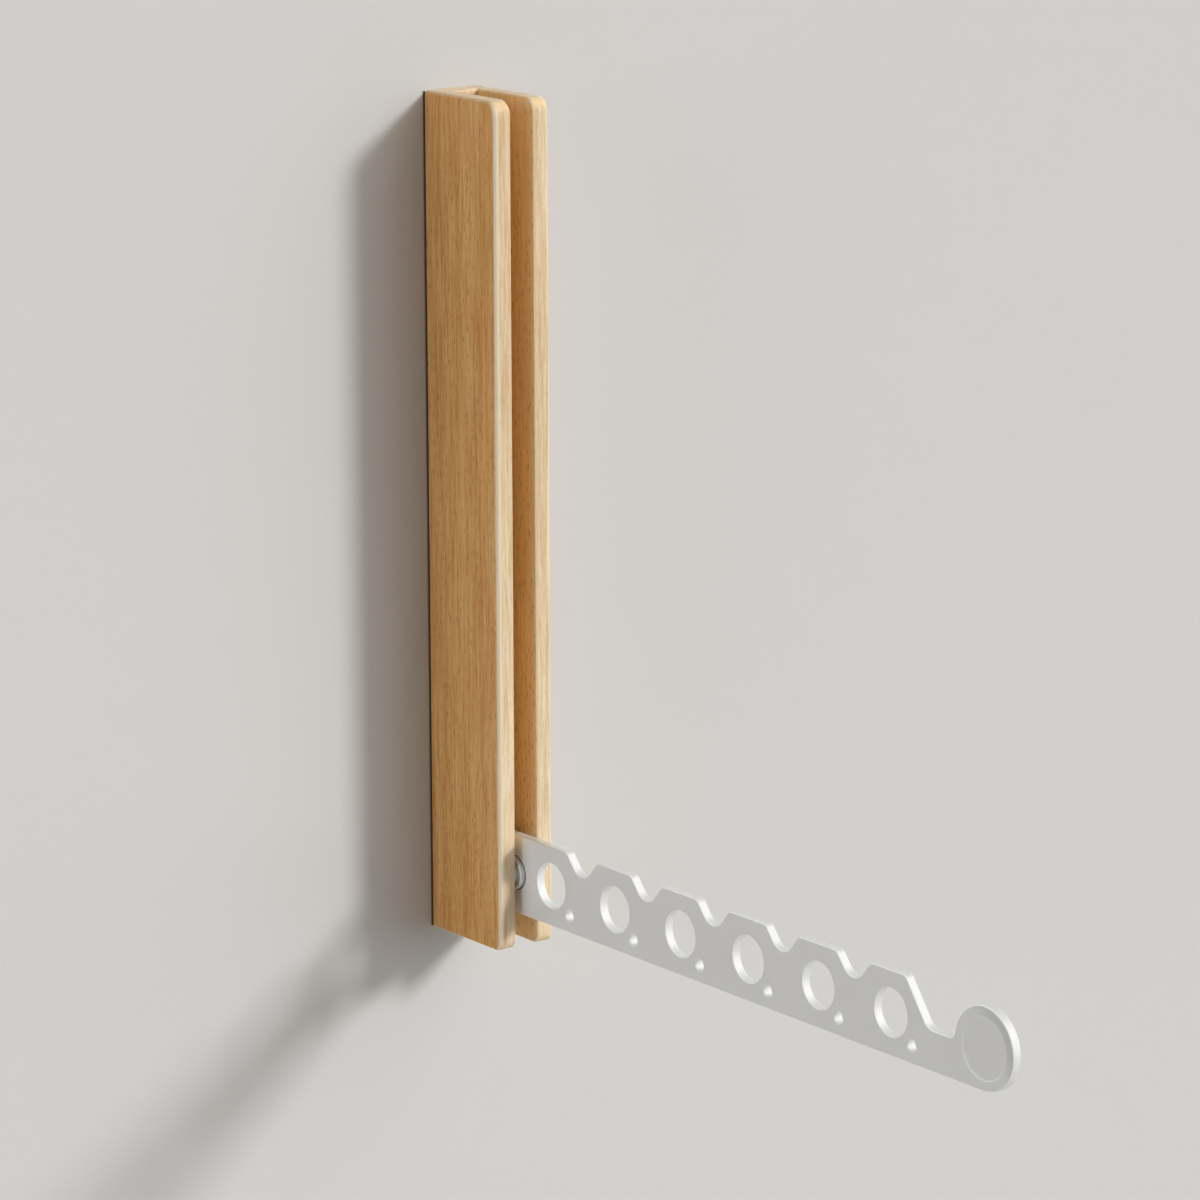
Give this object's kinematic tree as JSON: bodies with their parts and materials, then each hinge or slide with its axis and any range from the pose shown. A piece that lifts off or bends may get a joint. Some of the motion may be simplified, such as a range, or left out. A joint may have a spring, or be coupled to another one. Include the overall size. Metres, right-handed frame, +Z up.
{
  "type": "wall mounted clothes valet",
  "caption": "Folding wall valet: a flat notched arm with hook holes swings out of a slotted wooden housing to hang clothes on, and folds up into it.",
  "frame": {"origin": "on the wall plane, in the middle of the housing's back, midway between the two wall-screw holes", "axes": "+Z up, +Y into the wall so that -Y points out of it along the arm, +X to the right of someone facing the wall"},
  "size_m": [0.027, 0.3473, 0.35],
  "materials": {
    "beech": "solid beech, sanded, clear matt oil",
    "dowel_wood": "plain birch dowel",
    "anodised_aluminium": "fine bead-blasted and clear anodised, edges milled bright",
    "stainless_steel": "turned or brushed",
    "brass_sleeve": "turned",
    "screw_steel": "zinc plated",
    "buffer_rubber": "soft matt rubber"
  },
  "bodies": {
    "housing": {"back_rail": "beech", "left_cheek": "beech", "right_cheek": "beech", "cheek_dowels": "dowel_wood", "pivot_pin": "stainless_steel", "left_ferrule": "brass_sleeve", "right_ferrule": "brass_sleeve", "left_spacer": "stainless_steel", "right_spacer": "stainless_steel", "strike_plate": "stainless_steel", "strike_plate_screws": "screw_steel", "fold_bumper": "buffer_rubber"},
    "arm": {"arm": "anodised_aluminium", "left_bush": "stainless_steel", "right_bush": "stainless_steel"}
  },
  "joints": [
    {"name": "arm_fold", "type": "hinge", "parent": "housing", "child": "arm", "pos_m": [0, -0.0415, -0.1442], "axis": [-1, 0, 0], "range_deg": [0, 92.5]}
  ]
}
